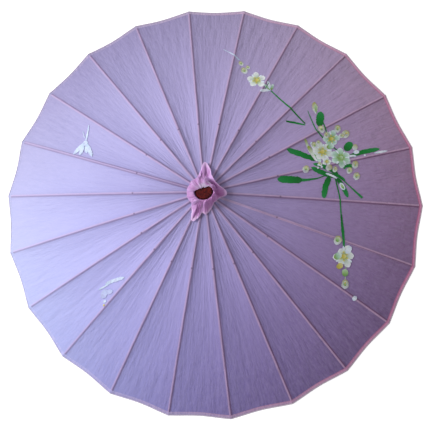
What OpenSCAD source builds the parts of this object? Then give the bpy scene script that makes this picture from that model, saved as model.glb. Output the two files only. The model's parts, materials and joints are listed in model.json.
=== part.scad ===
// A light cloth parasol built on the pattern of an oil paper umbrella: 22 bamboo ribs hinged round a
// turned wooden notch, 22 stretchers hinged half way along them and round a runner on the shaft.
// Z runs up the shaft. The origin is on the axis at the middle of the straight grip. The umbrella
// stands open. The top pivot, the joint on the rib and the runner pivot of each side form a triangle
// with two equal sides, so a rib turns by q, its stretcher by -2q against it, and the runner slides.

/* [Ribs] */
// Straight length of a rib from its top pivot to its tip
rib_len = 403; // [336:1:484]
// Distance from the top pivot to the joint on the rib, which is also the length of a stretcher
stretcher_len = 126; // [105:1:151]
// Width of a rib over most of its length
rib_w = 4.2; // [3.6:0.1:4.4]
// Depth of a rib, seen from the side
rib_depth = 4.6; // [3.8:0.1:5.4]
// Radius of the gentle bow that the cloth pulls into each rib
bow_r = 5000; // [4000:100:8000]
// Angle between an open rib's inner part and the shaft below the notch
open_angle = 80; // [74:0.5:81]

/* [Notch and runner] */
// Radius of the circle that the rib heads hinge on
pivot_r = 15; // [14:0.1:18]
// Radius of the turned head above the cloth
head_r = 16.3; // [13:0.1:20]
// Height of the turned head above the cloth
head_h = 8; // [6:0.5:12]
// Length of the runner's sleeve below its slots
sleeve_len = 36; // [28:1:45]

/* [Shaft and handle] */
// Radius of the shaft
shaft_r = 5.5; // [4.6:0.1:6.2]
// Radius of the grip
grip_r = 10; // [8.4:0.1:12]
// Length of the straight part of the grip
grip_len = 100; // [80:1:120]

/* [Cloth] */
// Thickness of the canopy cloth
cloth_t = 0.6; // [0.4:0.1:0.8]
// Width of the coloured hem
hem_w = 7; // [4:0.5:12]
// Reach of the longest corner of the cloth collar round the head
collar_reach = 53; // [44:1:60]

/* [Hidden] */
rib_count = 22;
rib_names = [for (i = [1:rib_count]) str("rib_", i < 10 ? "0" : "", i)];
stretcher_names = [for (i = [1:rib_count]) str("stretcher_", i < 10 ? "0" : "", i)];
$fn = 72;

// Gaps: a running gap between moving parts, and a glued or driven fit within one body
gap = 0.3;
fit = 0.05;
eps = 0.01;
step_angle = 360 / rib_count;

// Heads that turn in the slots of the notch and runner
head_w = 2;
slot_w = head_w + 2 * gap;
head_len = 22;
flare_len = 8;
tip_w = 3;
tip_taper = 40;
stretcher_w = 3.2;
stretcher_depth = 3.6;
wire_r = 0.4;
wire_hole_r = wire_r + 0.35;

// The slit in a rib, and the stretcher's tongue that swings in it on a peg
tongue_w = 1.5;
slit_w = tongue_w + 2 * gap;
tongue_len = 38;
slit_out = tongue_len + 3;
slit_in = 16;
peg_r = 0.7;

// Turned shapes
slot_wall = 0.4;
block_r = pivot_r + 3.5;
notch_drop = 8;
notch_rise = 3;
neck_r = 12;
neck_low = 7;
neck_len = 5.5;
tooth_depth = 1.6;
tooth_h = 4;
bore_gap = 0.4;
head_bevel = 2;
sleeve_r = 10.5;
cap_len = 9;
cap_step = 0.5;
cap_round = 3;
cap_spigot_r = 3;
cap_spigot_len = 7.5;
shoulder_len = 12;
tip_gap = 6;

// Pins
notch_pin_r = 0.9;
stop_pin_r = 1;

// Where things are
shoulder_top = grip_len / 2 + shoulder_len;
crown_z = shoulder_top + tip_gap + rib_len;
joint_r = pivot_r + stretcher_len * sin(open_angle);
joint_z = crown_z - stretcher_len * cos(open_angle);
runner_z = crown_z - 2 * stretcher_len * cos(open_angle);
runner_top = runner_z + 3.5;
runner_low = runner_z - 6 - sleeve_len;
neck_top = crown_z + neck_low + neck_len;
shaft_top = neck_top + 2;
shaft_low = -grip_len / 2 + 10;
notch_pin_z = crown_z + neck_low + 3;
stop_pin_z = runner_top + stop_pin_r + 0.6;

// The bow of a rib, as turns about its centre from the middle of the pivot-to-joint chord
head_turn = asin(stretcher_len / 2 / bow_r);
tip_turn = 2 * asin(rib_len / 2 / bow_r) - head_turn;
bow_drop = bow_r * cos(head_turn);
bow_centre_r = pivot_r + stretcher_len / 2 * sin(open_angle) - bow_drop * cos(open_angle);
bow_centre_z = crown_z - stretcher_len / 2 * cos(open_angle) - bow_drop * sin(open_angle);
tip_angle = open_angle - (tip_turn - head_turn) / 2;
tip_r = pivot_r + rib_len * sin(tip_angle);
rim_r = tip_r + 1.5;

// The catch, a sprung leaf in a slot of the shaft just under the open runner
catch_len = 38;
catch_w = 1.6;
catch_t = 2.4;
catch_pivot_x = 1.6;
catch_pivot_r = 1.5;
nail_r = 0.5;
catch_top = runner_low - 0.5;
catch_pivot_z = catch_top - catch_len;

// Height of the cloth's underside over the ribs, which it clears by the running gap
function cloth_z(r, lift = 0) =
    bow_centre_z + sqrt(pow(bow_r + rib_depth / 2 + gap + lift, 2) - pow(r - bow_centre_r, 2));

// The cloth's underside from the neck to past the rim, raised by lift
cloth_steps = 10;
cloth_start = pivot_r + 15;
function cloth_line(lift, far) = concat(
    [[neck_r + 0.4, crown_z + neck_low + 0.9 + lift],
        [block_r + 0.8, crown_z + notch_rise + 0.7 + lift]],
    [for (k = [0:cloth_steps])
        let (r = cloth_start + (far - cloth_start) * k / cloth_steps) [r, cloth_z(r, lift)]]);

function backwards(list) = [for (k = [len(list) - 1:-1:0]) list[k]];
function rim_polygon(r) = [for (k = [0:rib_count - 1]) r * [cos(k * step_angle), sin(k * step_angle)]];

// A sheet turned about the shaft, from one lift over the ribs to another
module turned_sheet(low, high, far) {
    rotate_extrude() polygon(concat(cloth_line(low, far), backwards(cloth_line(high, far))));
}

module rim_prism(r) {
    translate([0, 0, crown_z - rib_len]) linear_extrude(2 * rib_len) polygon(rim_polygon(r));
}

// Slots for the heads round a block, each from the floor radius outwards
module slots(floor_r, low, high) {
    for (k = [0:rib_count - 1])
        rotate(k * step_angle)
            translate([floor_r, -slot_w / 2, low]) cube([block_r, slot_w, high - low]);
}

// A round wire through the heads
module tie_ring(z, wire) {
    translate([0, 0, z]) rotate_extrude() translate([pivot_r, 0]) circle(wire, $fn = 24);
}

module shaft() {
    color("burlywood") difference() {
        translate([0, 0, shaft_low]) cylinder(r = shaft_r, h = shaft_top - shaft_low);
        translate([0, 0, stop_pin_z]) rotate([90, 0, 0])
            cylinder(r = stop_pin_r + fit, h = 4 * shaft_r, center = true);
        translate([0, 0, notch_pin_z]) rotate([0, 90, 0])
            cylinder(r = notch_pin_r + fit, h = 4 * shaft_r, center = true);
        translate([-2, -catch_w / 2 - gap, catch_pivot_z - 3])
            cube([2 * shaft_r, catch_w + 2 * gap, catch_len + 3.4]);
        translate([catch_pivot_x, 0, catch_pivot_z]) rotate([90, 0, 0])
            cylinder(r = nail_r + fit, h = 4 * shaft_r, center = true);
    }
}

module handle() {
    color("saddlebrown") difference() {
        union() {
            translate([0, 0, -grip_len / 2]) cylinder(r = grip_r, h = grip_len);
            translate([0, 0, grip_len / 2])
                cylinder(r1 = grip_r, r2 = shaft_r + 2, h = shoulder_len);
        }
        translate([0, 0, shaft_low - 0.2])
            cylinder(r = shaft_r + fit, h = grip_len + shoulder_len);
        translate([0, 0, -grip_len / 2 - eps])
            cylinder(r = cap_spigot_r + fit, h = cap_spigot_len + 0.5);
    }
}

// The cap is a little slimmer than the grip, has a rounded foot and is glued in by its spigot
module handle_cap() {
    cap_r = grip_r - cap_step;
    color("maroon") {
        translate([0, 0, -grip_len / 2 - cap_len]) rotate_extrude() union() {
            square([cap_r - cap_round, cap_len - fit]);
            translate([0, cap_round]) square([cap_r, cap_len - fit - cap_round]);
            intersection() {
                translate([cap_r - cap_round, cap_round]) circle(cap_round);
                square([cap_r, cap_round]);
            }
        }
        translate([0, 0, -grip_len / 2 - 2 * fit]) cylinder(r = cap_spigot_r, h = cap_spigot_len);
    }
}

module top_notch() {
    teeth = 22;
    color("brown") difference() {
        union() {
            translate([0, 0, crown_z - notch_drop]) cylinder(r = block_r, h = notch_drop + notch_rise);
            translate([0, 0, crown_z + notch_rise])
                cylinder(r1 = block_r, r2 = neck_r, h = neck_low - notch_rise);
            translate([0, 0, crown_z + neck_low - eps]) cylinder(r = neck_r, h = neck_len + 2 * eps);
            translate([0, 0, neck_top]) cylinder(r = head_r, h = head_h - head_bevel);
            translate([0, 0, neck_top + head_h - head_bevel])
                cylinder(r1 = head_r, r2 = head_r - head_bevel, h = head_bevel);
        }
        slots(pivot_r - rib_depth / 2 - slot_wall, crown_z - notch_drop - 1, crown_z + 2.8);
        tie_ring(crown_z, wire_r + 0.1);
        translate([0, 0, crown_z - notch_drop - 1])
            cylinder(r = shaft_r + fit, h = shaft_top + 0.2 - crown_z + notch_drop + 1);
        translate([0, 0, notch_pin_z]) rotate([0, 90, 0])
            cylinder(r = notch_pin_r + fit, h = 3 * neck_r, center = true);
        for (k = [0:teeth - 1])
            rotate((k + 0.5) * 360 / teeth)
                translate([head_r - tooth_depth, -0.8, neck_top + head_h - tooth_h])
                    cube([tooth_depth + 2, 1.6, tooth_h + 1]);
    }
}

module notch_pin() {
    color("goldenrod") translate([0, 0, notch_pin_z]) rotate([0, 90, 0])
        cylinder(r = notch_pin_r, h = 2 * neck_r - 1, center = true);
}

module top_tie() {
    color("dimgray") tie_ring(crown_z, wire_r);
}

module runner() {
    color("brown") difference() {
        union() {
            translate([0, 0, runner_z - 6]) cylinder(r = block_r, h = 9.5);
            translate([0, 0, runner_z - 10]) cylinder(r1 = sleeve_r, r2 = block_r, h = 4);
            translate([0, 0, runner_low]) cylinder(r = sleeve_r, h = sleeve_len);
            translate([0, 0, runner_low + 1]) cylinder(r = sleeve_r + 1.5, h = 3);
        }
        translate([0, 0, runner_low - 1])
            cylinder(r = shaft_r + bore_gap, h = runner_top - runner_low + 2);
        slots(pivot_r - stretcher_depth / 2 - slot_wall, runner_z - 2.3, runner_z + 8);
        tie_ring(runner_z, wire_r + 0.1);
    }
}

module runner_tie() {
    color("dimgray") tie_ring(runner_z, wire_r);
}

module stop_pin() {
    color("goldenrod") translate([0, 0, stop_pin_z]) rotate([90, 0, 0])
        cylinder(r = stop_pin_r, h = 2 * shaft_r + 5, center = true);
}

module catch() {
    color("silver") difference() {
        translate([0, catch_w / 2, 0]) rotate([90, 0, 0]) linear_extrude(catch_w) union() {
            translate([catch_pivot_x, catch_pivot_z]) circle(catch_pivot_r);
            polygon([[catch_pivot_x - 1.2, catch_pivot_z + 1], [catch_pivot_x + 1.4, catch_pivot_z],
                [shaft_r - 0.3, catch_top - 8], [shaft_r - 0.3, catch_top],
                [shaft_r - 0.3 - catch_t, catch_top]]);
        }
        translate([catch_pivot_x, 0, catch_pivot_z]) rotate([90, 0, 0])
            cylinder(r = nail_r + gap, h = 3 * catch_w, center = true);
    }
}

module catch_nail() {
    color("goldenrod") translate([catch_pivot_x, 0, catch_pivot_z]) rotate([90, 0, 0])
        cylinder(r = nail_r, h = 2 * shaft_r - 1, center = true);
}

module canopy() {
    color("mediumpurple") intersection() {
        turned_sheet(0, cloth_t, rim_r + 3);
        rim_prism(rim_r);
    }
}

module hem() {
    color("mediumvioletred") difference() {
        intersection() {
            turned_sheet(-0.1, cloth_t + 0.6, rim_r + 3);
            rim_prism(rim_r + 0.7);
        }
        rim_prism(rim_r - hem_w);
        intersection() {
            turned_sheet(-1, cloth_t + fit, rim_r + 3);
            rim_prism(rim_r + fit);
        }
    }
}

// The collar's corners as shares of its reach, with their turns about the shaft, and the hollows between
collar_corners = [[87, 1], [50, 0.62], [20, 0.6], [-7, 0.72], [-50, 0.52], [-80, 0.66],
    [-109, 0.97], [-135, 0.66], [-162, 0.6], [-190, 0.61], [-225, 0.62], [-250, 0.74]];

module collar() {
    color("hotpink") union() {
        intersection() {
            turned_sheet(cloth_t + 0.3, cloth_t + 1.1, 2 * collar_reach);
            translate([0, 0, crown_z - collar_reach]) linear_extrude(2 * collar_reach)
                polygon([for (c = collar_corners) collar_reach * c[1] * [cos(c[0]), sin(c[0])]]);
        }
        difference() {
            translate([0, 0, crown_z + neck_low + 1.9]) cylinder(r = neck_r + 1.2, h = 2.6);
            translate([0, 0, crown_z + neck_low]) cylinder(r = neck_r + 0.4, h = neck_len + 1);
        }
    }
}

module collar_tie() {
    color("crimson") translate([0, 0, crown_z + neck_low + 3.4]) rotate_extrude()
        translate([neck_r + 1.2 + 0.6 + fit, 0]) circle(0.6, $fn = 24);
}

// A rib lies along x from its top pivot at the origin, with the bow towards +y and its width along z
module rib_shape() {
    difference() {
        union() {
            intersection() {
                translate([stretcher_len / 2, -bow_drop, 0]) rotate(90 - tip_turn)
                    rotate_extrude(angle = tip_turn + head_turn, $fn = 720)
                        translate([bow_r - rib_depth / 2, -rib_w / 2]) square([rib_depth, rib_w]);
                rotate([-90, 0, 0]) translate([0, 0, -rib_len / 2]) linear_extrude(rib_len)
                    polygon([[-5, -head_w / 2], [head_len, -head_w / 2],
                        [head_len + flare_len, -rib_w / 2], [rib_len - tip_taper, -rib_w / 2],
                        [rib_len + 5, -tip_w / 2], [rib_len + 5, tip_w / 2],
                        [rib_len - tip_taper, rib_w / 2], [head_len + flare_len, rib_w / 2],
                        [head_len, head_w / 2], [-5, head_w / 2]]);
            }
            cylinder(r = rib_depth / 2, h = head_w, center = true);
        }
        cylinder(r = wire_hole_r, h = 2 * rib_w, center = true);
        translate([stretcher_len - slit_in, -rib_depth, -slit_w / 2])
            cube([slit_in + slit_out, 2 * rib_depth, slit_w]);
        translate([stretcher_len, 0, 0]) cylinder(r = peg_r + fit, h = 2 * rib_w, center = true);
    }
    translate([stretcher_len, 0, 0]) cylinder(r = peg_r, h = rib_w + 0.6, center = true);
}

// A stretcher lies along x from its joint on the rib at the origin to its pivot in the runner
module stretcher_shape() {
    inner = stretcher_len - head_len;
    difference() {
        intersection() {
            union() {
                cylinder(r = stretcher_depth / 2, h = stretcher_w, center = true);
                translate([stretcher_len, 0, 0])
                    cylinder(r = stretcher_depth / 2, h = stretcher_w, center = true);
                translate([0, -stretcher_depth / 2, -stretcher_w / 2])
                    cube([stretcher_len, stretcher_depth, stretcher_w]);
            }
            rotate([-90, 0, 0]) translate([0, 0, -stretcher_depth]) linear_extrude(2 * stretcher_depth)
                polygon([[-3, -tongue_w / 2], [tongue_len, -tongue_w / 2],
                    [tongue_len + flare_len, -stretcher_w / 2], [inner - flare_len, -stretcher_w / 2],
                    [inner, -head_w / 2], [stretcher_len + 3, -head_w / 2],
                    [stretcher_len + 3, head_w / 2], [inner, head_w / 2],
                    [inner - flare_len, stretcher_w / 2], [tongue_len + flare_len, stretcher_w / 2],
                    [tongue_len, tongue_w / 2], [-3, tongue_w / 2]]);
        }
        cylinder(r = peg_r + gap, h = 2 * stretcher_w, center = true);
        translate([stretcher_len, 0, 0]) cylinder(r = wire_hole_r, h = 2 * stretcher_w, center = true);
    }
}

module rib(k) {
    color("tan") rotate((k - 1) * step_angle) translate([pivot_r, 0, crown_z])
        rotate([0, 90 - open_angle, 0]) rotate([90, 0, 0]) rib_shape();
}

module stretcher(k) {
    color("peru") rotate((k - 1) * step_angle) translate([joint_r, 0, joint_z])
        rotate([0, 90 + open_angle, 0]) rotate([90, 0, 0]) stretcher_shape();
}

shaft();
handle();
handle_cap();
top_notch();
notch_pin();
top_tie();
runner();
runner_tie();
stop_pin();
catch();
catch_nail();
canopy();
hem();
collar();
collar_tie();
for (k = [1:rib_count]) {
    rib(k);
    stretcher(k);
}
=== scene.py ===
import json
import math

import bpy
from mathutils import Euler, Matrix, Vector, noise


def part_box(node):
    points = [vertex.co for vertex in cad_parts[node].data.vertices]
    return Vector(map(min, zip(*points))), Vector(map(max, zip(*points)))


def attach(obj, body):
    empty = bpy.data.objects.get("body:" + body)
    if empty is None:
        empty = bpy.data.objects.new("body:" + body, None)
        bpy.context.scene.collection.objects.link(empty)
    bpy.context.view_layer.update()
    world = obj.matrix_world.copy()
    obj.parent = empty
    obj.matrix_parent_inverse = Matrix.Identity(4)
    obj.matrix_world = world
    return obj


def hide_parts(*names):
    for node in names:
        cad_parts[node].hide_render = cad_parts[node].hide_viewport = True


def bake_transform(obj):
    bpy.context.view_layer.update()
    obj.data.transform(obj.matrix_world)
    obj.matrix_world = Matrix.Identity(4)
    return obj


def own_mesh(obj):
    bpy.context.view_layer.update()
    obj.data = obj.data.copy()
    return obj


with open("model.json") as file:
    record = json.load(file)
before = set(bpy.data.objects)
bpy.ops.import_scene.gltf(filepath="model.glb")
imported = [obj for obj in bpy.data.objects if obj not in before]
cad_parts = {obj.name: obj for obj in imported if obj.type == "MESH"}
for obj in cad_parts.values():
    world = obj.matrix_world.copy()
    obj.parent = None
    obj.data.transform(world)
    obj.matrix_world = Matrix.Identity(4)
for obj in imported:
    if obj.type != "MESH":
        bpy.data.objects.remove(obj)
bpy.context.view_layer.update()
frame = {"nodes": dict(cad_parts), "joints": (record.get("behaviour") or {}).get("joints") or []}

# ---------------------------------------------------------------- where things are, in metres
RIBS = 22
STEP = 2 * math.pi / RIBS
HALF = STEP / 2
MM = 0.001
JOINTS = {j["name"]: j for j in frame["joints"]}
PIVOT_R = JOINTS["fold"]["pos_m"][0]
CROWN_Z = JOINTS["fold"]["pos_m"][2]
KNOT_R = JOINTS["stretcher_01_hinge"]["pos_m"][0]
KNOT_Z = JOINTS["stretcher_01_hinge"]["pos_m"][2]
RIB_DEPTH = 0.0046
BOW_R = 5.0
LIFT = 0.0009
RIM_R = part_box("rib_01")[1].x + 0.0012
HEM_W = 0.0055
# radii and heights above the ribs' pivots of the cloth over the head, before it follows the ribs
HEAD_CLOTH = ((0.0124, 0.0079), (0.0193, 0.0037))
HEAD_CLOTH_END = 0.0300
# how far the cloth drops beside the strip glued to a rib, how soon, and how wide that strip's half is
RIDGE_DROP = 0.0012
RIDGE_SIDE = 0.0026
STRIP_HALF = 0.0023
# the sag in the middle of a panel by the head, what is added further out, and how much the rim bows inwards
SAG_HEAD = 0.0006
SAG_OUTER = 0.0034
RIM_BOW = 0.0022
WRINKLE = 0.0009
HEAD_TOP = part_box("top_notch")[1].z
FLOOR_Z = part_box("handle_cap")[0].z

# the circle that the ribs' bow follows, in the plane of radius and height
CHORD = Vector((KNOT_R, KNOT_Z)) - Vector((PIVOT_R, CROWN_Z))
CHORD_MID = Vector((PIVOT_R, CROWN_Z)) + CHORD / 2
ACROSS = Vector((CHORD.y, -CHORD.x)).normalized()
BOW_C = CHORD_MID + ACROSS * math.sqrt(BOW_R**2 - (CHORD.length / 2) ** 2)
if BOW_C.y > CROWN_Z:
    BOW_C = CHORD_MID - ACROSS * math.sqrt(BOW_R**2 - (CHORD.length / 2) ** 2)


def rib_top(r):
    """Height of the cloth over a rib at this radius."""
    if r < HEAD_CLOTH_END:
        ring = [*HEAD_CLOTH, (HEAD_CLOTH_END, rib_arc(HEAD_CLOTH_END) - CROWN_Z)]
        for (r0, z0), (r1, z1) in zip(ring, ring[1:]):
            if r <= r1:
                t = max(0.0, (r - r0) / (r1 - r0))
                return CROWN_Z + z0 + (z1 - z0) * t
    return rib_arc(r)


def rib_arc(r):
    """Height of the bowed ribs' outer face at this radius, with the cloth on it."""
    reach = BOW_R + RIB_DEPTH / 2 + LIFT
    return BOW_C.y + math.sqrt(reach**2 - (r - BOW_C.x) ** 2)


def smooth(a, b, x):
    """0 up to a, 1 from b on, and an even rise between them."""
    t = min(1.0, max(0.0, (x - a) / (b - a)))
    return t * t * (3 - 2 * t)


def panel_sag(rho, side):
    """How far the cloth hangs below the line between two ribs, side metres from the nearer rib."""
    wide = rho * math.sin(HALF)
    deep = SAG_HEAD + SAG_OUTER * smooth(0.04, 0.14, rho) * (1 - 0.75 * smooth(0.30, RIM_R, rho))
    over_rib = RIDGE_DROP * (1 - 1 / (1 + (side / RIDGE_SIDE) ** 2))
    beside = max(0.0, side - STRIP_HALF) / max(wide - STRIP_HALF, 0.001)
    return over_rib + deep * (1 - (1 - min(beside, 1.0)) ** 2)


def cloth_point(rho, turn, azimuth):
    """A point of the canopy: rho along the nearest rib, turn from that rib in radians."""
    r = rho * math.cos(HALF) / math.cos(HALF - abs(turn))
    edge = smooth(0.90 * RIM_R, RIM_R, rho) * (1 - math.cos(2 * math.pi * abs(turn) / STEP)) / 2
    r -= RIM_BOW * edge
    side = r * math.sin(abs(turn))
    a = azimuth + turn
    x, y = r * math.cos(a), r * math.sin(a)
    z = rib_top(rho) - panel_sag(rho, side)
    wave = noise.noise(Vector((x * 14, y * 14, 3.1)))
    z += WRINKLE * wave * smooth(0.05, 0.12, rho) * smooth(0.0, 0.012, side)
    return Vector((x, y, z))


def over_cloth(x, y, lift):
    """The point lift above the canopy over plan position x, y, and the index of the nearest rib."""
    a = math.atan2(y, x)
    k = int(round(a / STEP))
    turn = a - k * STEP
    rho = math.hypot(x, y) * math.cos(HALF - abs(turn)) / math.cos(HALF)
    p = cloth_point(rho, turn, k * STEP)
    return Vector((x, y, p.z + lift)), k % RIBS


# ---------------------------------------------------------------- materials
THREAD_PITCH = 0.0009
STITCH_W = 0.0016


class Shader:
    """A small helper that adds nodes to one material."""

    def __init__(self, name, rough=0.5, **inputs):
        self.material = bpy.data.materials.new(name)
        self.material.use_nodes = True
        self.tree = self.material.node_tree
        self.surface = self.tree.nodes["Principled BSDF"]
        self.surface.inputs["Roughness"].default_value = rough
        for key, value in inputs.items():
            self.surface.inputs[key.replace("_", " ")].default_value = value

    def node(self, kind, **settings):
        """Adds a node with these settings."""
        n = self.tree.nodes.new(kind)
        for key, value in settings.items():
            setattr(n, key, value)
        return n

    def put(self, socket, value):
        """Links another node's output to a socket, or sets the socket to a plain value."""
        if isinstance(value, bpy.types.NodeSocket):
            self.tree.links.new(value, socket)
        elif value is not None:
            socket.default_value = value

    def math(self, op, a, b=None, c=None, clamp=False):
        n = self.node("ShaderNodeMath", operation=op, use_clamp=clamp)
        for socket, value in zip(n.inputs, (a, b, c)):
            self.put(socket, value)
        return n.outputs[0]

    def times(self, a, b, clamp=False):
        return self.math("MULTIPLY", a, b, clamp=clamp)

    def plus(self, a, b, clamp=False):
        return self.math("ADD", a, b, clamp=clamp)

    def linear(self, value, slope, start, clamp=False):
        return self.math("MULTIPLY_ADD", value, slope, start, clamp)

    def mix(self, factor, a, b):
        n = self.node("ShaderNodeMix", data_type="RGBA", blend_type="MIX")
        self.put(n.inputs[0], factor)
        self.put(n.inputs[6], a)
        self.put(n.inputs[7], b)
        return n.outputs[2]

    def coords(self, which="Object"):
        return self.node("ShaderNodeTexCoord").outputs[which]

    def split(self, vector):
        n = self.node("ShaderNodeSeparateXYZ")
        self.put(n.inputs[0], vector)
        return n.outputs

    def join(self, x, y, z=0.0):
        n = self.node("ShaderNodeCombineXYZ")
        for socket, value in zip(n.inputs, (x, y, z)):
            self.put(socket, value)
        return n.outputs[0]

    def noise(self, vector, scale, detail=3.0, rough=0.5, distortion=0.0):
        n = self.node("ShaderNodeTexNoise")
        self.put(n.inputs["Vector"], vector)
        n.inputs["Scale"].default_value = scale
        n.inputs["Detail"].default_value = detail
        n.inputs["Roughness"].default_value = rough
        n.inputs["Distortion"].default_value = distortion
        return n.outputs[0]

    def ramp(self, value, *stops):
        """A colour ramp with stops of (position, colour)."""
        n = self.node("ShaderNodeValToRGB")
        self.put(n.inputs[0], value)
        e = n.color_ramp.elements
        while len(e) < len(stops):
            e.new(0.5)
        for place, (at, colour) in zip(e, stops):
            place.position = at
            place.color = colour if len(colour) == 4 else (*colour, 1)
        return n.outputs[0]

    def band(self, value, low, high, soft):
        """1 between low and high, fading over soft outside them."""
        up = self.linear(value, 1 / soft, -low / soft + 1, clamp=True)
        down = self.linear(value, -1 / soft, high / soft + 1, clamp=True)
        return self.times(up, down)

    def bump(self, height, distance, strength=1.0, under=None):
        """A bump normal from a height, laid over another one."""
        n = self.node("ShaderNodeBump")
        n.inputs["Strength"].default_value = strength
        n.inputs["Distance"].default_value = distance
        self.put(n.inputs["Height"], height)
        self.put(n.inputs["Normal"], under)
        return n.outputs[0]

    def done(self, colour=None, normal=None, rough=None):
        """Connects the finished colour, normal and roughness, and returns the material."""
        self.put(self.surface.inputs["Base Color"], colour)
        self.put(self.surface.inputs["Normal"], normal)
        self.put(self.surface.inputs["Roughness"], rough)
        return self.material


def lin(r, g, b):
    """A colour given as it looks, made linear."""
    shades = (r / 255, g / 255, b / 255)
    return tuple(((c + 0.055) / 1.055) ** 2.4 if c > 10 / 255 else c / 12.92 for c in shades) + (1,)


def polar(s):
    """Object coordinates, the radius from the shaft, and a unit vector that runs round it without a break."""
    x, y, z = s.split(s.coords())[:3]
    r = s.math("SQRT", s.plus(s.times(x, x), s.times(y, y)))
    safe = s.math("MAXIMUM", r, 0.001)
    return x, y, z, r, s.math("DIVIDE", x, safe), s.math("DIVIDE", y, safe)


def translucent(s, colour, share, normal=None):
    """Lets some light through thin cloth."""
    t = s.node("ShaderNodeBsdfTranslucent")
    s.put(t.inputs["Color"], colour)
    s.put(t.inputs["Normal"], normal)
    mix = s.node("ShaderNodeMixShader")
    mix.inputs[0].default_value = share
    s.tree.links.new(s.surface.outputs[0], mix.inputs[1])
    s.tree.links.new(t.outputs[0], mix.inputs[2])
    s.tree.links.new(mix.outputs[0], s.tree.nodes["Material Output"].inputs["Surface"])


# the shot cloth's colours with painted light and shade in them, paler on the lamp's side and deeper away from
# it: at its middle, 0.4 m from there to four sides, and towards one corner
TONE_SIDE = 0.4
TONE_CORNER = 0.28
CLOTH_TONE_AND_SHADE = {
    "middle": lin(167, 158, 210),
    "east": lin(142, 108, 142),
    "west": lin(166, 168, 207),
    "north": lin(154, 143, 180),
    "south": lin(127, 118, 177),
    "north east": lin(176, 150, 180),
}


def tone_and_shade_slopes(channel):
    """Natural log of a channel at the middle, then its slopes along x, y, xy, xx and yy, per metre."""
    at = {place: math.log(colour[channel]) for place, colour in CLOTH_TONE_AND_SHADE.items()}
    along_x = (at["east"] - at["west"]) / (2 * TONE_SIDE)
    along_y = (at["north"] - at["south"]) / (2 * TONE_SIDE)
    bend_x = (at["east"] + at["west"] - 2 * at["middle"]) / (2 * TONE_SIDE**2)
    bend_y = (at["north"] + at["south"] - 2 * at["middle"]) / (2 * TONE_SIDE**2)
    straight = at["middle"] + (along_x + along_y) * TONE_CORNER + (bend_x + bend_y) * TONE_CORNER**2
    twist = (at["north east"] - straight) / TONE_CORNER**2
    return at["middle"], (along_x, along_y, twist, bend_x, bend_y)


def tone_and_shade(s, x, y):
    """The colour of the shot cloth with painted light and shade: bluer and paler on the lamp's side, pinker
    and deeper on the other.
    """
    mixed = s.node("ShaderNodeCombineColor")
    terms = (x, y, s.times(x, y), s.times(x, x), s.times(y, y))
    for channel in range(3):
        power, slopes = tone_and_shade_slopes(channel)
        for term, slope in zip(terms, slopes):
            power = s.linear(term, slope, power)
        s.put(mixed.inputs[channel], s.math("EXPONENT", power))
    return mixed.outputs[0]


def canopy_material():
    """Thin crinkled cloth with a fine weave, over ribs that show through as seams."""
    s = Shader("canopy cloth", 0.55, Sheen_Weight=0.35, Sheen_Roughness=0.4, Specular_IOR_Level=0.25)
    s.surface.inputs["Sheen Tint"].default_value = lin(215, 205, 250)
    x, y, _, r, c, d = polar(s)
    uv = s.split(s.coords("UV"))
    # radial and crosswise crinkles, both stronger near the head and near the rim
    ends = s.plus(s.band(r, 0.0, 0.11, 0.05), s.band(r, 0.34, 0.5, 0.05))
    radial = s.noise(s.join(s.times(c, 9.0), s.times(d, 9.0), s.times(r, 6.0)), 3.0, 4.0, 0.6)
    cross = s.noise(s.join(s.times(c, 2.2), s.times(d, 2.2), s.times(r, 42.0)), 2.2, 4.0, 0.65, 0.6)
    broad = s.noise(s.coords(), 22.0, 3.0, 0.55, 0.8)
    crinkle = s.plus(s.times(radial, s.linear(ends, 0.6, 1.0)), s.times(cross, s.linear(ends, 0.2, 0.12)))
    crinkle = s.plus(crinkle, s.times(broad, 0.5))
    crinkle = s.times(crinkle, s.linear(x, 0.9, 0.6))
    weave_u = s.math("SINE", s.times(x, 2 * math.pi / THREAD_PITCH))
    weave_v = s.math("SINE", s.times(y, 2 * math.pi / THREAD_PITCH))
    weave = s.times(weave_u, weave_v)
    normal = s.bump(crinkle, 0.0062, 0.7)
    normal = s.bump(weave, 0.0001, 0.25, normal)
    # shot cloth with painted light and shade: bluer and paler towards the lamp's side, pinker and deeper
    # towards the other, with a slow drift
    drift = s.noise(s.coords(), 3.4, 3.0, 0.5)
    base = tone_and_shade(s, x, y)
    base = s.mix(s.times(drift, 0.16), base, lin(150, 128, 190))
    fine = s.noise(s.join(s.times(c, 30.0), s.times(d, 30.0), s.times(r, 30.0)), 3.0, 5.0, 0.7)
    # painted shade: darker streaks along the radial crinkles, stronger on the side away from the lamp
    streak = s.linear(radial, 1.6, -0.75, clamp=True)
    base = s.mix(s.times(streak, s.linear(x, 0.4, 0.2)), base, lin(122, 100, 148))
    base = s.mix(s.linear(fine, 0.4, -0.12, clamp=True), base, lin(204, 192, 228))
    # each rib shows through as a pale seam, set on the lamp's side of the rib as a painted highlight, with a
    # dark edge of painted shade on the side away from the light; both grow stronger away from the lamp
    lit_side = s.times(uv[0], s.math("SIGN", s.linear(x, 0.3, y)))
    line = s.band(lit_side, -0.0004, 0.0018, 0.0008)
    edge = s.band(lit_side, -0.0030, -0.0008, 0.0009)
    base = s.mix(s.times(edge, s.linear(x, 0.5, 0.48)), base, lin(118, 76, 112))
    base = s.mix(s.times(line, s.linear(x, 0.45, 0.42)), base, lin(228, 188, 220))
    # the dark thread where a stretcher meets its rib
    past_knot = s.math("SUBTRACT", uv[1], KNOT_R)
    knot = s.math("SQRT", s.plus(s.times(uv[0], uv[0]), s.times(past_knot, past_knot)))
    base = s.mix(s.times(s.band(knot, -1.0, 0.0014, 0.0008), 0.5), base, lin(78, 58, 92))
    translucent(s, base, 0.12, normal)
    return s.done(base, normal)


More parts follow.
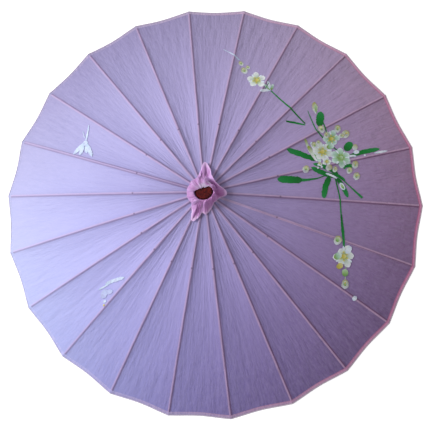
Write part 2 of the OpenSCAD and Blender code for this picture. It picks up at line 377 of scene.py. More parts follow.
def hem_material():
    """The gathered hem, paler than the cloth, with painted light: pale on the lamp's side and pinker away
    from it, and a line of stitching along its inner edge that shows only away from the lamp, as painted
    shade.
    """
    s = Shader("hem tape", 0.6, Sheen_Weight=0.3, Specular_IOR_Level=0.2)
    x, y, _, r, c, d = polar(s)
    gather = s.noise(s.join(s.times(c, 60.0), s.times(d, 60.0), s.times(r, 20.0)), 2.6, 3.0, 0.6)
    # painted light: the tape is pale on the lamp's side, and pinker with more of it showing away from the
    # lamp
    share = s.linear(x, 0.8, s.linear(gather, 0.6, 0.06), clamp=True)
    tape = s.mix(s.linear(x, 2.2, 0.1, clamp=True), lin(248, 222, 248), lin(248, 162, 206))
    base = s.mix(share, tone_and_shade(s, x, y), tape)
    rho = s.split(s.coords("UV"))[1]
    stitched = s.band(rho, RIM_R - HEM_W, RIM_R - HEM_W + STITCH_W, 0.0006)
    # the stitch line fades out towards the lamp: painted shade on the far side
    shade_away_from_lamp = s.linear(x, 1.0, 0.15, clamp=True)
    base = s.mix(s.times(stitched, shade_away_from_lamp), base, lin(150, 48, 84))
    return s.done(base, s.bump(gather, 0.002, 0.5))


def edge_material():
    """The pale rolled edge outside the hem."""
    s = Shader("hem edge", 0.7, Sheen_Weight=0.2)
    x, y = s.split(s.coords())[:2]
    n = s.noise(s.coords(), 400.0, 2.0)
    base = s.mix(s.linear(n, 0.3, 0.42), tone_and_shade(s, x, y), lin(252, 238, 242))
    return s.done(base, s.bump(n, 0.0006, 0.4))


def paint_material(name, start, middle, end, thin):
    """Thin paint on cloth: its colour changes along the stroke, and the cloth shows through it in places."""
    s = Shader(name, 0.55, Specular_IOR_Level=0.3)
    uv = s.split(s.coords("UV"))
    n = s.noise(s.coords(), 240.0, 4.0, 0.7)
    streak = s.noise(s.join(s.times(uv[0], 1.2), s.times(uv[1], 7.0), 0.0), 2.0, 3.0)
    t = s.plus(uv[0], s.linear(streak, 0.5, -0.25), clamp=True)
    base = s.ramp(t, (0.1, start), (0.45, middle), (0.9, end))
    base = s.mix(s.linear(n, 2.4, thin, clamp=True), base, lin(158, 140, 188))
    return s.done(base, s.bump(n, 0.0004, 0.4))


def collar_material():
    """Pink satin, with painted shade in magenta in its folds and on the side away from the light, and a
    painted highlight on its inner lip.
    """
    s = Shader("collar satin", 0.33, Sheen_Weight=0.5, Specular_IOR_Level=0.45)
    s.surface.inputs["Sheen Tint"].default_value = lin(240, 200, 245)
    uv = s.split(s.coords("UV"))
    x, y, _, _, c, d = polar(s)
    fold = s.noise(s.join(s.times(c, 5.0), s.times(d, 5.0), s.times(uv[1], 2.2)), 2.0, 3.0, 0.55, 0.4)
    thread = s.noise(s.join(s.times(x, 900.0), s.times(y, 90.0), 0.0), 1.0, 2.0)
    # painted shade and highlight: darker pink down in the folds and paler on their crests
    base = s.ramp(fold, (0.25, lin(208, 142, 214)), (0.48, lin(226, 178, 240)), (0.7, lin(238, 202, 250)))
    # painted shade: deeper magenta on the side away from the light, and down in the pleats
    far_side_shade = s.linear(s.math("SUBTRACT", c, s.times(d, 0.6)), 0.5, 0.05, clamp=True)
    outside = s.band(uv[1], 0.42, 2.0, 0.05)
    base = s.mix(s.times(far_side_shade, s.linear(outside, 0.62, 0.1)), base, lin(174, 52, 156))
    base = s.mix(s.times(uv[0], 0.4, clamp=True), base, lin(160, 66, 140))
    # painted highlight: a paler inner lip, brightest on its north side
    lip_highlight = s.times(s.band(uv[1], -1.0, 0.56, 0.03), s.linear(d, 1.4, -0.1, clamp=True))
    base = s.mix(s.times(lip_highlight, 0.8), base, lin(224, 206, 236))
    hemline = s.band(uv[1], 0.965, 2.0, 0.02)
    base = s.mix(s.times(hemline, 0.55), base, lin(238, 206, 244))
    normal = s.bump(fold, 0.004, 0.5)
    normal = s.bump(thread, 0.0003, 0.3, normal)
    translucent(s, base, 0.15, normal)
    return s.done(base, normal)


def lacquer(name, dark, mid, light, scale=90.0, rough=0.3, gloss=0.5):
    """Turned wood under worn lacquer."""
    s = Shader(name, rough, Coat_Weight=0.35, Coat_Roughness=0.2, Specular_IOR_Level=gloss)
    n = s.noise(s.coords(), scale, 5.0, 0.65, 0.6)
    ring = s.noise(s.join(0.0, 0.0, s.times(s.split(s.coords())[2], 700.0)), 1.0, 2.0)
    base = s.ramp(n, (0.3, dark), (0.52, mid), (0.72, light))
    worn = s.linear(n, 0.4, 0.12)
    return s.done(base, s.bump(s.plus(n, s.times(ring, 0.3)), 0.0006, 0.4), worn)


def bamboo(name, dark, light, covered=False):
    """Split bamboo: long fibres, with a node line now and then, covered with cloth on a rib's outer face."""
    s = Shader(name, 0.42, Coat_Weight=0.15, Coat_Roughness=0.3)
    _, _, _, r, c, d = polar(s)
    fibre = s.noise(s.join(s.times(c, 60.0), s.times(d, 60.0), s.times(r, 5.0)), 6.0, 4.0, 0.6)
    joint = s.times(s.math("SINE", s.times(r, 52.0)), s.math("SINE", s.linear(c, 9.0, 1.0)))
    ring = s.band(s.math("ABSOLUTE", joint), 0.985, 2.0, 0.01)
    base = s.ramp(fibre, (0.3, dark), (0.7, light))
    base = s.mix(s.times(ring, 0.5), base, dark)
    if covered:
        # the outer face carries the strip of cloth that is glued to it, seen when the umbrella is folded
        faces_out = s.band(s.split(s.coords("Normal"))[2], 0.6, 2.0, 0.1)
        strip = s.ramp(fibre, (0.2, lin(176, 150, 200)), (0.8, lin(206, 180, 224)))
        base = s.mix(faces_out, base, strip)
    return s.done(base, s.bump(fibre, 0.0004, 0.5))


def shaft_wood(name, dark, light):
    """Straight-grained wood, its grain running up the shaft."""
    s = Shader(name, 0.36, Coat_Weight=0.3, Coat_Roughness=0.2)
    x, y, z = s.split(s.coords())[:3]
    grain = s.noise(s.join(s.times(x, 500.0), s.times(y, 500.0), s.times(z, 12.0)), 1.0, 4.0, 0.6, 0.3)
    base = s.ramp(grain, (0.3, dark), (0.7, light))
    return s.done(base, s.bump(grain, 0.0003, 0.4))


def metal(name, colour, rough):
    """Bare metal, a little uneven in colour and polish."""
    s = Shader(name, rough, Metallic=1.0)
    n = s.noise(s.coords(), 300.0, 3.0)
    base = s.mix(n, colour, tuple(0.6 * v for v in colour[:3]) + (1,))
    return s.done(base, s.bump(n, 0.0002, 0.3), s.linear(n, 0.3, rough - 0.1))


def thread_material():
    """Twisted magenta thread."""
    s = Shader("tie thread", 0.7, Sheen_Weight=0.3)
    _, _, z, _, c, d = polar(s)
    n = s.noise(s.join(s.times(c, 80.0), s.times(d, 80.0), s.times(z, 900.0)), 1.0, 2.0)
    return s.done(s.ramp(n, (0.3, lin(120, 30, 70)), (0.7, lin(190, 80, 130))), s.bump(n, 0.0006, 0.7))


CLOTH = canopy_material()
HEM = hem_material()
EDGE = edge_material()
GREEN = paint_material("paint dark green", lin(16, 104, 40), lin(10, 124, 46), lin(36, 136, 70), -1.5)
LIME = paint_material("paint light green", lin(110, 160, 70), lin(150, 190, 120), lin(190, 214, 180), -1.25)
WHITE = paint_material("paint white", lin(206, 222, 240), lin(232, 238, 248), lin(214, 226, 242), -1.3)
FAINT = paint_material("paint faint", lin(168, 178, 216), lin(182, 190, 228), lin(174, 184, 222), -1.1)
PALE = paint_material("paint pale", lin(184, 204, 226), lin(204, 218, 238), lin(192, 208, 232), -1.1)
YELLOW = paint_material("paint yellow", lin(186, 170, 52), lin(206, 194, 92), lin(220, 212, 140), -1.25)
PETAL = paint_material("paint petal", lin(150, 166, 60), lin(206, 220, 206), lin(238, 240, 246), -1.2)
MINT = paint_material("paint mint petal", lin(126, 160, 40), lin(160, 204, 170), lin(214, 232, 232), -1.2)
BUD = paint_material("paint bud", lin(220, 228, 232), lin(206, 214, 186), lin(176, 172, 96), -1.05)
SATIN = collar_material()
HEAD = lacquer("head lacquer", lin(10, 0, 3), lin(82, 4, 12), lin(124, 34, 16), 260.0, 0.4, 0.15)
RED_WOOD = lacquer("red wood", lin(60, 12, 12), lin(96, 26, 20), lin(124, 44, 30))
BAMBOO = bamboo("split bamboo", lin(150, 108, 66), lin(208, 172, 120), covered=True)
BAMBOO_DARK = bamboo("stretcher bamboo", lin(128, 86, 50), lin(186, 144, 96))
SHAFT = shaft_wood("shaft wood", lin(150, 104, 62), lin(196, 152, 100))
WIRE = metal("drawn wire", (0.28, 0.26, 0.25, 1), 0.4)
NAIL = metal("brass nail", (0.72, 0.52, 0.22, 1), 0.3)
STEEL = metal("spring steel", (0.62, 0.62, 0.64, 1), 0.3)
THREAD = thread_material()


# ---------------------------------------------------------------- meshes
def build(name, points, faces, uvs, slots, face_slots):
    """A smooth-shaded mesh object with its UVs and a material slot for each face."""
    mesh = bpy.data.meshes.new(name)
    mesh.from_pydata([tuple(p) for p in points], [], faces)
    for m in slots:
        mesh.materials.append(m)
    mesh.polygons.foreach_set("material_index", face_slots)
    mesh.polygons.foreach_set("use_smooth", [True] * len(faces))
    layer = mesh.uv_layers.new(name="cut")
    for loop in mesh.loops:
        layer.data[loop.index].uv = uvs[loop.vertex_index]
    mesh.update()
    o = bpy.data.objects.new(name, mesh)
    bpy.context.scene.collection.objects.link(o)
    return o


class Piece:
    """Vertices, faces, UVs and material slots gathered for one object."""

    def __init__(self, *slots):
        self.points = []
        self.faces = []
        self.uvs = []
        self.face_slots = []
        self.slots = list(slots)

    def vertex(self, p, uv):
        """Adds a vertex and returns its number."""
        self.points.append(Vector(p))
        self.uvs.append(uv)
        return len(self.points) - 1

    def face(self, ids, m):
        """Adds a face of material m."""
        if m not in self.slots:
            self.slots.append(m)
        self.faces.append(tuple(ids))
        self.face_slots.append(self.slots.index(m))

    def grid(self, rows, m):
        """rows of (point, uv); joins neighbours into quads and returns the vertex numbers."""
        ids = [[self.vertex(p, uv) for p, uv in row] for row in rows]
        for a, b in zip(ids, ids[1:]):
            for k in range(len(a) - 1):
                self.face((a[k], b[k], b[k + 1], a[k + 1]), m)
        return ids

    def make(self, name, normals=None):
        """Makes the object, with these vertex normals if they are given."""
        o = build(name, self.points, self.faces, self.uvs, self.slots, self.face_slots)
        if normals:
            o.data.normals_split_custom_set_from_vertices(normals)
        return o


# how the canopy is parted round each rib: a crown by the notch, left unattached, and a gore outside it,
# attached to its rib's body
CROWN_END = 0.036
TIERS = [("crown", 0.0126, CROWN_END, 8, 14), ("gore", CROWN_END, RIM_R, 62, 28)]
pieces = {(t[0], k): Piece(CLOTH) for t in TIERS for k in range(RIBS)}
NEAR_RIB = (0.0, 0.0007, 0.0014, 0.0022, 0.0032, 0.0046)
# how proud of the cloth the folded hem stands, from its inner to its outer edge
HEM_LIFTS = ((0.0, 0.0), (0.15, 0.0002), (0.5, 0.0005), (0.9, 0.0006), (1.0, 0.0004))
RUFFLE = 0.0003
ROLL_R = 0.0014
ROLL_RINGS = 6


def columns(rho, count):
    """Turns across a gore, close together over the rib, where the cloth bends most."""
    near = [math.asin(d * min(1.0, rho * math.sin(HALF) / 0.010) / rho) for d in NEAR_RIB]
    rest = count // 2 - len(near) + 1
    half = near + [near[-1] + (HALF - near[-1]) * (i + 1) / rest for i in range(rest)]
    return [-t for t in reversed(half[1:])] + half


for tier, r0, r1, rows, cols in TIERS:
    for k in range(RIBS):
        az = k * STEP
        cloth_end = r1 - HEM_W if tier == "gore" else r1
        grid = []
        for i in range(rows + 1):
            rho = r0 + (cloth_end - r0) * i / rows
            row = []
            for turn in columns(rho, cols):
                p = cloth_point(rho, turn, az)
                row.append((p, (rho * math.sin(turn), rho)))
            grid.append(row)
        pieces[tier, k].grid(grid, CLOTH)
        if tier == "gore":
            # the folded hem, a little proud of the cloth and gathered, with a pale rolled edge
            hem, roll, fine = [], [], 2 * cols
            for at, lift in HEM_LIFTS:
                row = []
                for j in range(fine + 1):
                    turn = -HALF + STEP * j / fine
                    rho = RIM_R - HEM_W + HEM_W * at
                    p = cloth_point(rho, turn, az)
                    ruffle = noise.noise(Vector((p.x * 170, p.y * 170, 7.7)))
                    p.z += lift + RUFFLE * ruffle * (1 if lift else 0)
                    row.append((p, (rho * math.sin(turn), rho)))
                hem.append(row)
            pieces[tier, k].grid(hem, HEM)
            for i in range(ROLL_RINGS + 1):
                w = math.pi * (0.75 - 1.5 * i / ROLL_RINGS)
                row = []
                for j in range(fine + 1):
                    turn = -HALF + STEP * j / fine
                    p = cloth_point(RIM_R + 0.0006 + ROLL_R * math.cos(w), turn, az)
                    p.z += ROLL_R * math.sin(w) + 0.0002
                    row.append((p, (RIM_R * math.sin(turn), RIM_R)))
                roll.append(row)
            pieces[tier, k].grid(roll, EDGE)


# ---------------------------------------------------------------- painted flowers, in mm seen from above
PAINT_LIFT = 0.00035
LAYER_STEP = 0.000003
LAYER = [0]


def paint(shape, m):
    """shape is a grid of ((x, y) in mm, (along, across)). Each cell goes on the panel that it lies over."""
    lift = PAINT_LIFT + LAYER_STEP * LAYER[0]
    for a, b in zip(shape, shape[1:]):
        for j in range(len(a) - 1):
            cell = (a[j], b[j], b[j + 1], a[j + 1])
            middle_x = sum(place[0] for place, _ in cell) / 4
            middle_y = sum(place[1] for place, _ in cell) / 4
            piece = pieces["gore", over_cloth(middle_x * MM, middle_y * MM, lift)[1]]
            ids = [piece.vertex(over_cloth(x * MM, y * MM, lift)[0], uv) for (x, y), uv in cell]
            piece.face(ids, m)


def stroke(points, widths, m, wobble=0.12):
    """A brush stroke through points in mm, with the width in mm at each of them."""
    LAYER[0] += 1
    seed = LAYER[0] * 3.7
    chain = []
    for (x0, y0), (x1, y1), w0, w1 in zip(points, points[1:], widths, widths[1:]):
        n = max(2, int(math.hypot(x1 - x0, y1 - y0) / 2.5))
        for i in range(n):
            t = i / n
            chain.append((x0 + (x1 - x0) * t, y0 + (y1 - y0) * t, w0 + (w1 - w0) * t))
    chain.append((*points[-1], widths[-1]))
    for _ in range(3):
        eased_middle = [
            tuple((before + 2 * here + after) / 4 for before, here, after in zip(a, b, c))
            for a, b, c in zip(chain, chain[1:], chain[2:])
        ]
        chain = [chain[0], *eased_middle, chain[-1]]
    rows = []
    for i, (x, y, w) in enumerate(chain):
        x0, y0 = chain[max(i - 1, 0)][:2]
        x1, y1 = chain[min(i + 1, len(chain) - 1)][:2]
        long = math.hypot(x1 - x0, y1 - y0) or 1
        nx, ny = -(y1 - y0) / long, (x1 - x0) / long
        left = w / 2 * (1 + wobble * noise.noise(Vector((i * 0.7, seed, 0))) * 2)
        right = w / 2 * (1 + wobble * noise.noise(Vector((i * 0.7, seed, 5))) * 2)
        row = []
        for across in (0, 0.25, 0.5, 0.75, 1):
            side = left * (1 - across) - right * across
            row.append(((x + nx * side, y + ny * side), (i / len(chain), across)))
        rows.append(row)
    paint(rows, m)


def leaf(a, b, wide, m, bulge=0.45, blunt=0.0):
    """A leaf from its foot a to its tip b, widest at bulge of its length. A blunt one has round ends."""
    pts, wid = [], []
    for i in range(13):
        t = i / 12
        pts.append((a[0] + (b[0] - a[0]) * t, a[1] + (b[1] - a[1]) * t))
        pointed = math.sin(math.pi * t ** (math.log(0.5) / math.log(bulge)))
        rounded = math.sqrt(max(0.0, 1 - (2 * t - 1) ** 4))
        wid.append(max(0.5, wide * (pointed + (rounded - pointed) * blunt)))
    stroke(pts, wid, m)


def brush(a, b, wide, m, bow=0.0):
    """A loaded brush pulled from a to b: round ends, and bowed sideways by bow mm."""
    long = math.hypot(b[0] - a[0], b[1] - a[1])
    nx, ny = -(b[1] - a[1]) / long, (b[0] - a[0]) / long
    pts, wid = [], []
    for i in range(13):
        t = i / 12
        side = bow * math.sin(math.pi * t)
        pts.append((a[0] + (b[0] - a[0]) * t + nx * side, a[1] + (b[1] - a[1]) * t + ny * side))
        end = min(t, 1 - t) * long / (wide / 2)
        rounding = math.sqrt(max(0.04, 1 - (1 - end) ** 2)) if end < 1 else 1
        wid.append(wide * (0.86 + 0.14 * math.sin(math.pi * t)) * rounding)
    stroke(pts, wid, m)


def polar_point(x, y, r, turn):
    """The point at distance r from x, y, towards turn in radians."""
    return x + r * math.cos(turn), y + r * math.sin(turn)


def dab(x, y, rx, ry, m, turn=0.0):
    """One touch of the brush, an oval."""
    leaf(polar_point(x, y, -rx, turn), polar_point(x, y, rx, turn), 2 * ry, m, 0.5, 0.7)


def flower(x, y, r, petals, turn, m, heart):
    """Overlapping petals round a stippled heart."""
    for i in range(petals):
        a = turn + 2 * math.pi * i / petals + 0.3 * noise.noise(Vector((y, x, i * 2.1)))
        tip = r * (1.02 + 0.5 * noise.noise(Vector((x, y, i * 1.3))))
        leaf(polar_point(x, y, 0.08 * r, a), polar_point(x, y, tip, a), r * 0.66, m, 0.66, 0.6)
        # a white streak beside each petal
        side = a + 0.5
        leaf(polar_point(x, y, 0.3 * r, side), polar_point(x, y, 0.85 * tip, side), r * 0.24, WHITE, 0.6, 0.3)
    dab(x, y, r * 0.26, r * 0.22, heart, turn)
    for i in range(petals):
        a = turn + 0.5 + 2 * math.pi * i / petals
        dab(*polar_point(x, y, 0.40 * r, a), r * 0.10, r * 0.08, heart, a)


def bud(x, y, r, turn):
    """A round bud, pale outside, greener inside and yellow in the middle, tilted towards turn."""
    dab(x, y, r, r * 0.76, BUD, turn)
    dab(*polar_point(x, y, 0.15 * r, turn), r * 0.55, r * 0.36, MINT, turn)
    dab(*polar_point(x, y, 0.3 * r, turn), r * 0.3, r * 0.2, YELLOW, turn)


# the upper sprig
stroke([(185, 150), (150, 186), (118, 217)], [2.6, 3.0, 2.4], GREEN)
stroke([(148, 152), (168, 150), (185, 147)], [3.0, 4.5, 2.6], GREEN)
stroke([(53, 286), (38, 300), (20, 312)], [3.2, 3.0, 1.2], PALE)
brush((117, 219), (96, 214), 6, WHITE)
brush((116, 219), (103, 230), 5, MINT)
brush((117, 220), (111, 237), 6, WHITE)
brush((118, 219), (122, 232), 5.5, MINT)
stroke([(113, 233), (106, 219)], [1.4, 1.0], GREEN)
flower(89, 240, 18, 5, 0.4, PETAL, YELLOW)
for x, y, r in ((64, 262, 8), (57, 278, 6), (71, 270, 5)):
    bud(x, y, r, 2.2)
# leaves of the bouquet
stroke([(250, 97), (228, 114), (206, 136), (190, 178)], [2.6, 2.8, 2.4, 1.2], GREEN)
stroke([(219, 156), (223, 143), (228, 130)], [2.2, 2.4, 1.6], GREEN)
brush((212, 145), (216, 178), 15, GREEN)
brush((262, 100), (276, 118), 15, GREEN)
brush((266, 86), (330, 108), 9, GREEN, 2)
leaf((318, 98), (346, 105), 5, WHITE, 0.5, 0.3)
brush((264, 88), (284, 90), 4.5, WHITE)
brush((208, 76), (150, 93), 11, GREEN, -1)
stroke([(226, 48), (208, 40), (184, 35), (172, 35)], [1.6, 2.2, 5.0, 9.0], GREEN)
brush((180, 35), (133, 33), 13, GREEN)
brush((246, 46), (196, 60), 9, GREEN, 2)
brush((248, 52), (200, 68), 8, GREEN, -2)
brush((250, 67), (282, 69), 7, GREEN, 1)
brush((236, 56), (262, 40), 6, GREEN)
brush((232, 46), (220, 2), 11, GREEN, -2)
brush((246, 44), (266, 7), 9, GREEN, 2)
stroke([(250, 48), (272, 28), (294, 8)], [2.2, 2.2, 5.0], GREEN)
brush((244, 86), (262, 62), 5, GREEN)
stroke([(242, 48), (250, 10), (254, -28)], [2.8, 2.4, 2.6], GREEN)
stroke([(254, -26), (257, -58), (259, -88)], [3.2, 5.6, 3.2], GREEN)
stroke([(260, -88), (264, -122), (262, -150)], [1.8, 1.4, 1.2], LIME)
leaf((206, 172), (203, 198), 12, BUD, 0.6, 0.3)
leaf((207, 174), (205, 194), 5, LIME, 0.6, 0.3)
# its flowers
brush((184, 117), (196, 88), 5, PETAL)
brush((190, 104), (208, 74), 8, PETAL)
brush((196, 112), (206, 92), 7, WHITE)
brush((204, 92), (214, 72), 8, MINT)
dab(210, 102, 9, 6, LIME, 1.0)
flower(236, 122, 17, 6, 0.2, MINT, YELLOW)
flower(218, 94, 19, 6, 0.9, PETAL, YELLOW)
flower(253, 84, 19, 6, 0.5, MINT, LIME)
flower(226, 74, 9, 5, 0.1, PETAL, YELLOW)
dab(234, 106, 8, 5, MINT, 0.4)
dab(282, 108, 7, 5, BUD, 1.2)
dab(284, 98, 6, 4, WHITE, 0.3)
for x, y, r, turn in (
    (248, 143, 8, 1.4), (264, 134, 9, 0.9), (256, 130, 6, 0.4), (203, 106, 7, 2.2), (216, 139, 8, 1.9),
    (226, 128, 6, 1.5), (281, 72, 8, 1.2), (270, 60, 7, 0.9), (284, 50, 8, 1.2), (186, 56, 8, 1.2),
    (230, 62, 7, 0.5), (242, 60, 6, 1.1), (213, 68, 5, 2.0), (210, 112, 5, 1.0),
):
    bud(x, y, r, turn)
for x, y in ((210, 66), (216, 62), (209, 60), (268, 86), (300, 92)):
    dab(x, y, 2.4, 1.8, WHITE, 0.4)
brush((224, 51), (246, 43), 4, WHITE, 1)
dab(256, 28, 8, 4.5, WHITE, 2.1)
dab(256, 28, 5.5, 2.4, LIME, 2.1)
# the hanging spray
bud(247, -75, 9, 1.2)
dab(246, -74, 4, 3, LIME, 1.2)
flower(259, -104, 19, 6, 0.1, PETAL, YELLOW)
dab(248, -104, 8, 6, MINT, 0.5)
dab(268, -92, 8, 5, WHITE, 1.0)
dab(252, -122, 7, 5, YELLOW, 0.5)
dab(262, -134, 7, 6, LIME, 1.6)
bud(262, -155, 9, 1.4)
dab(280, -180, 5, 4, WHITE, 0.9)
# the two butterflies
stroke([(-246, 144), (-247, 130), (-249, 112)], [2.0, 3.2, 4.0], PALE)
stroke([(-258, 132), (-253, 118)], [1.0, 1.8], PALE)
dab(-250, 106, 6, 5, PALE, 0.8)
leaf((-251, 108), (-272, 82), 9, PALE, 0.55, 0.5)
leaf((-252, 102), (-258, 80), 8, PALE, 0.6, 0.5)
leaf((-248, 104), (-243, 84), 8, PALE, 0.6, 0.5)
leaf((-246, 106), (-231, 76), 8, PALE, 0.6, 0.5)
brush((-187, -172), (-148, -158), 6.5, PALE, 1)
brush((-200, -183), (-180, -172), 3, PALE)
dab(-188, -190, 10, 6.5, FAINT, 1.1)
dab(-178, -186, 8, 4.5, FAINT, 0.3)
dab(-186, -204, 4, 2.6, PALE, 0.5)
dab(-187, -211, 2.2, 1.6, YELLOW, 1.2)


def rib_body(k):
    """Name of the body that rib k moves with, counted from 0."""
    return f"rib_{k + 1:02d}_body"


def bend_at_notch(o):
    """Bakes o's placement into its mesh and leaves the piece where it is."""
    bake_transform(o)


for (tier, k), piece in pieces.items():
    o = piece.make(f"canopy_{tier}_{k + 1:02d}")
    r0, r1 = next((t[1], t[2]) for t in TIERS if t[0] == tier)
    if tier == "crown":
        bend_at_notch(o)
        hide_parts("canopy")
    else:
        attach(o, rib_body(k))
        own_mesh(o)
        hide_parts("canopy", "hem")


# ---------------------------------------------------------------- the satin collar round the head
# Turn in degrees: radius and height of its upper lip, of its wall and of its hem, in millimetres.
# The lip's height is from the top of the head, and the others are from the cloth.
COLLAR = [
    (92, 4.8, 2.4, 25.0, 13.0, 58.0, 3.0),
    (80, 5.0, 2.4, 24.0, 11.0, 47.0, 6.0),
    (68, 5.4, 2.4, 21.0, 7.0, 33.0, 12.0),
    (50, 7.2, 2.2, 20.5, 2.0, 28.5, 12.0),
    (25, 14.2, 1.2, 21.5, 1.0, 30.0, 10.0),
    (-4, 18.0, -1.0, 22.0, 4.0, 41.0, 5.0),
    (-18, 18.3, -1.0, 22.5, 9.0, 31.0, 1.5),
    (-30, 18.3, -0.5, 22.5, 13.0, 27.5, 1.5),
    (-48, 18.0, 0.0, 22.0, 15.0, 27.0, 1.5),
    (-66, 17.8, 0.0, 21.5, 16.0, 33.0, 1.5),
    (-84, 17.8, 0.0, 22.5, 16.0, 41.0, 2.0),
    (-94, 17.8, 0.0, 22.5, 14.0, 38.0, 2.0),
    (-103, 17.9, 0.0, 25.0, 14.0, 50.0, 3.0),
    (-112, 18.1, 0.0, 27.0, 13.0, 57.0, 3.0),
    (-122, 18.3, 0.0, 28.0, 13.0, 42.0, 2.0),
    (-140, 18.4, 1.0, 27.5, 17.0, 30.5, 1.5),
    (-165, 17.6, 2.0, 29.5, 17.5, 33.0, 1.5),
    (-190, 9.0, 2.6, 29.5, 17.0, 33.0, 1.5),
    (-210, 5.8, 2.6, 28.5, 16.0, 31.5, 1.5),
    (-228, 4.8, 2.6, 27.5, 15.0, 30.5, 1.5),
    (-246, 4.7, 2.6, 27.0, 14.5, 33.0, 2.0),
    (-258, 4.7, 2.5, 26.0, 14.0, 43.0, 3.0),
]
SECTOR = 16
COLLAR_COLS = SECTOR * RIBS
COLLAR_ROWS = 44
# how far the collar stays above the canopy's ribs, in millimetres
COLLAR_CLEAR = 0.9


def between(a, b, c, d, f):
    """Catmull-Rom: the value f of the way from b to c, with a before them and d after."""
    return 0.5 * (2 * b + (c - a) * f + (2 * a - 5 * b + 4 * c - d) * f**2 + (3 * b - a - 3 * c + d) * f**3)


def rib_top_mm(r):
    """Height in mm of the cloth over a rib, at a radius in mm."""
    return rib_top(r * MM) / MM


def collar_at(degrees):
    """The six collar sizes at this turn."""
    first = COLLAR[0][0]
    d = (first - degrees) % 360
    turns = [(first - row[0]) % 360 for row in COLLAR] + [360]
    i = max(k for k in range(len(COLLAR)) if turns[k] <= d)
    f = (d - turns[i]) / (turns[i + 1] - turns[i])
    four = [COLLAR[(i + k) % len(COLLAR)][1:] for k in (-1, 0, 1, 2)]
    return [between(*sizes, f) for sizes in zip(*four)]


def collar_profile(degrees):
    """Radii and heights in mm of the collar at this turn: up inside the lip, over it, and down to the hem."""
    lip_r, lip_z, wall_r, wall_h, hem_r, hem_h = collar_at(degrees)
    top = HEAD_TOP / MM
    inside = max(17.4, lip_r - 1.2)
    over = 1 - smooth(13.0, 17.5, lip_r)
    corner_z = top - 1.5 + 2.3 * over
    crest = lip_r + (0.30 + 0.32 * over) * (wall_r - lip_r) + 0.6
    foot_r = wall_r + (hem_r - wall_r) * 0.35
    foot_h = 0.45 * hem_h + 0.9 + 0.35 * wall_h * (hem_h < 3)
    return [
        (12.9, top - 11.0),
        (15.0, top - 9.6),
        (inside, top - 8.2),
        (inside + 0.3, min(corner_z, top + lip_z - 0.8)),
        (lip_r, top + lip_z),
        (crest, top + lip_z + 0.3 + 0.9 * over),
        (wall_r, rib_top_mm(wall_r) + wall_h),
        (foot_r, rib_top_mm(foot_r) + foot_h),
        (hem_r, rib_top_mm(hem_r) + hem_h),
    ]


def along(points, t):
    """A smooth curve through points, t from 0 to 1."""
    n = len(points) - 1
    u = min(t * n, n - 1e-6)
    i = int(u)
    f = u - i
    four = [points[min(max(i + k, 0), n)] for k in (-1, 0, 1, 2)]
    return [between(*values, f) for values in zip(*four)]


def collar_point(column, t):
    """A point of the collar, t from the neck at 0 to the hem at 1, and how deep in a pleat it lies."""
    degrees = 360 * column / COLLAR_COLS - 180 / RIBS
    a = math.radians(degrees)
    r, z = along(collar_profile(degrees), t)
    # pleats that run round the wrap aslant, flat at the neck and deep on the wall
    twist = a + 1.1 * t
    deep = smooth(0.34, 0.62, t) * (1 - 0.45 * smooth(0.85, 1.0, t))
    pleat = 1 - abs(math.sin(4.5 * twist + 0.8 * math.sin(2 * twist) + 0.4)) ** 0.7
    small = noise.noise(Vector((math.cos(twist) * 4.5, math.sin(twist) * 4.5, t * 1.6)))
    fine = noise.noise(Vector((math.cos(twist) * 11, math.sin(twist) * 11, t * 2.4 + 9)))
    r += deep * (2.2 * (pleat - 0.35) + 1.3 * small + 0.7 * fine)
    z += deep * (1.6 * (pleat - 0.35) + 1.0 * small + 0.7 * fine)
    # the small teeth of its gathered edge
    r += 0.5 * max(0.0, 1 - abs(t - 0.5) / 0.05) * math.sin(2 * math.pi * r * math.cos(a) / 2.4)
    if t > 0.5:
        z = max(z, rib_top_mm(r) + COLLAR_CLEAR)
    return Vector((r * math.cos(a), r * math.sin(a), z)) * MM, deep * (1 - pleat)


grid = [[collar_point(c, i / COLLAR_ROWS) for c in range(COLLAR_COLS)] for i in range(COLLAR_ROWS + 1)]
ring_normals = []
for i in range(COLLAR_ROWS + 1):
    above, below = grid[max(i - 1, 0)], grid[min(i + 1, COLLAR_ROWS)]
    ring_normals.append([
        (below[c][0] - above[c][0]).cross(grid[i][(c + 1) % COLLAR_COLS][0] - grid[i][c - 1][0]).normalized()
        for c in range(COLLAR_COLS)
    ])
for k in range(RIBS):
    piece = Piece(SATIN)
    sector = [c % COLLAR_COLS for c in range(k * SECTOR, (k + 1) * SECTOR + 1)]
    rows = []
    for i, ring in enumerate(grid):
        rows.append([(ring[c][0], (ring[c][1], i / COLLAR_ROWS)) for c in sector])
    piece.grid(rows, SATIN)
    o = piece.make(f"collar_{k + 1:02d}", [ring[c] for ring in ring_normals for c in sector])
    bend_at_notch(o)
    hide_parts("collar")


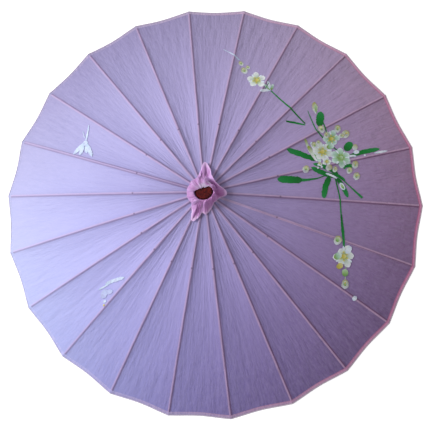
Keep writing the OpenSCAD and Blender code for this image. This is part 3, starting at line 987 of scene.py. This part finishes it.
# ---------------------------------------------------------------- the CAD's own pieces
FINISH = {
    "shaft": SHAFT, "handle": RED_WOOD, "handle_cap": RED_WOOD, "top_notch": HEAD, "runner": RED_WOOD,
    "notch_pin": NAIL, "stop_pin": NAIL, "catch_nail": NAIL, "catch": STEEL,
    "top_tie": WIRE, "runner_tie": WIRE, "collar_tie": THREAD,
}
FINISH.update({name: BAMBOO for name in frame["nodes"] if name.startswith("rib")})
FINISH.update({name: BAMBOO_DARK for name in frame["nodes"] if name.startswith("stretcher")})
for name, node in frame["nodes"].items():
    m = FINISH.get(name)
    if m:
        if not node.material_slots:
            node.data.materials.append(m)
        for place in node.material_slots:
            place.material = m

# ---------------------------------------------------------------- floor, light and camera
bpy.ops.mesh.primitive_plane_add(size=24, location=(0, 0, FLOOR_Z - 0.0005))
floor = bpy.context.object
floor.name = "floor"
PAPER = Shader("floor", 0.9, Specular_IOR_Level=0.1, Emission_Color=(1, 1, 1, 1), Emission_Strength=0.7)
shade = PAPER.noise(PAPER.coords(), 0.6, 2.0)
PAPER.done(PAPER.ramp(shade, (0.0, (0.93, 0.93, 0.93)), (1.0, (0.97, 0.97, 0.97))))
floor.data.materials.append(PAPER.material)

world = bpy.data.worlds.new("studio")
bpy.context.scene.world = world
world.use_nodes = True
world.node_tree.nodes["Background"].inputs[0].default_value = (1, 1, 1, 1)
world.node_tree.nodes["Background"].inputs[1].default_value = 0.4


def area_light(name, at, aim, size, power, colour):
    """A square lamp at one point, aimed at another."""
    lamp = bpy.data.lights.new(name, "AREA")
    lamp.size = size
    lamp.energy = power
    lamp.color = colour
    o = bpy.data.objects.new(name, lamp)
    o.location = at
    o.rotation_euler = (Vector(aim) - Vector(at)).to_track_quat("-Z", "Y").to_euler()
    bpy.context.scene.collection.objects.link(o)


area_light("key", (-1.05, 0.16, 1.2), (-0.1, 0, 0.42), 0.4, 15.0, (0.97, 0.98, 1.0))

# the camera looks down on the umbrella, a little from the front and the right; its turns are about x, y and z
CAMERA_AT = (0.0960, -0.1887, 1.3702)
CAMERA_TURNS = (9.48, 4.41, 2.25)
lens = bpy.data.cameras.new("camera")
lens.sensor_width = 36
lens.lens = 42.17
lens.clip_start = 0.01
camera = bpy.data.objects.new("camera", lens)
bpy.context.scene.collection.objects.link(camera)
turned = Euler([math.radians(turn) for turn in CAMERA_TURNS])
camera.matrix_world = Matrix.Translation(CAMERA_AT) @ turned.to_matrix().to_4x4()
bpy.context.scene.camera = camera
bpy.context.scene.view_settings.view_transform = "Standard"
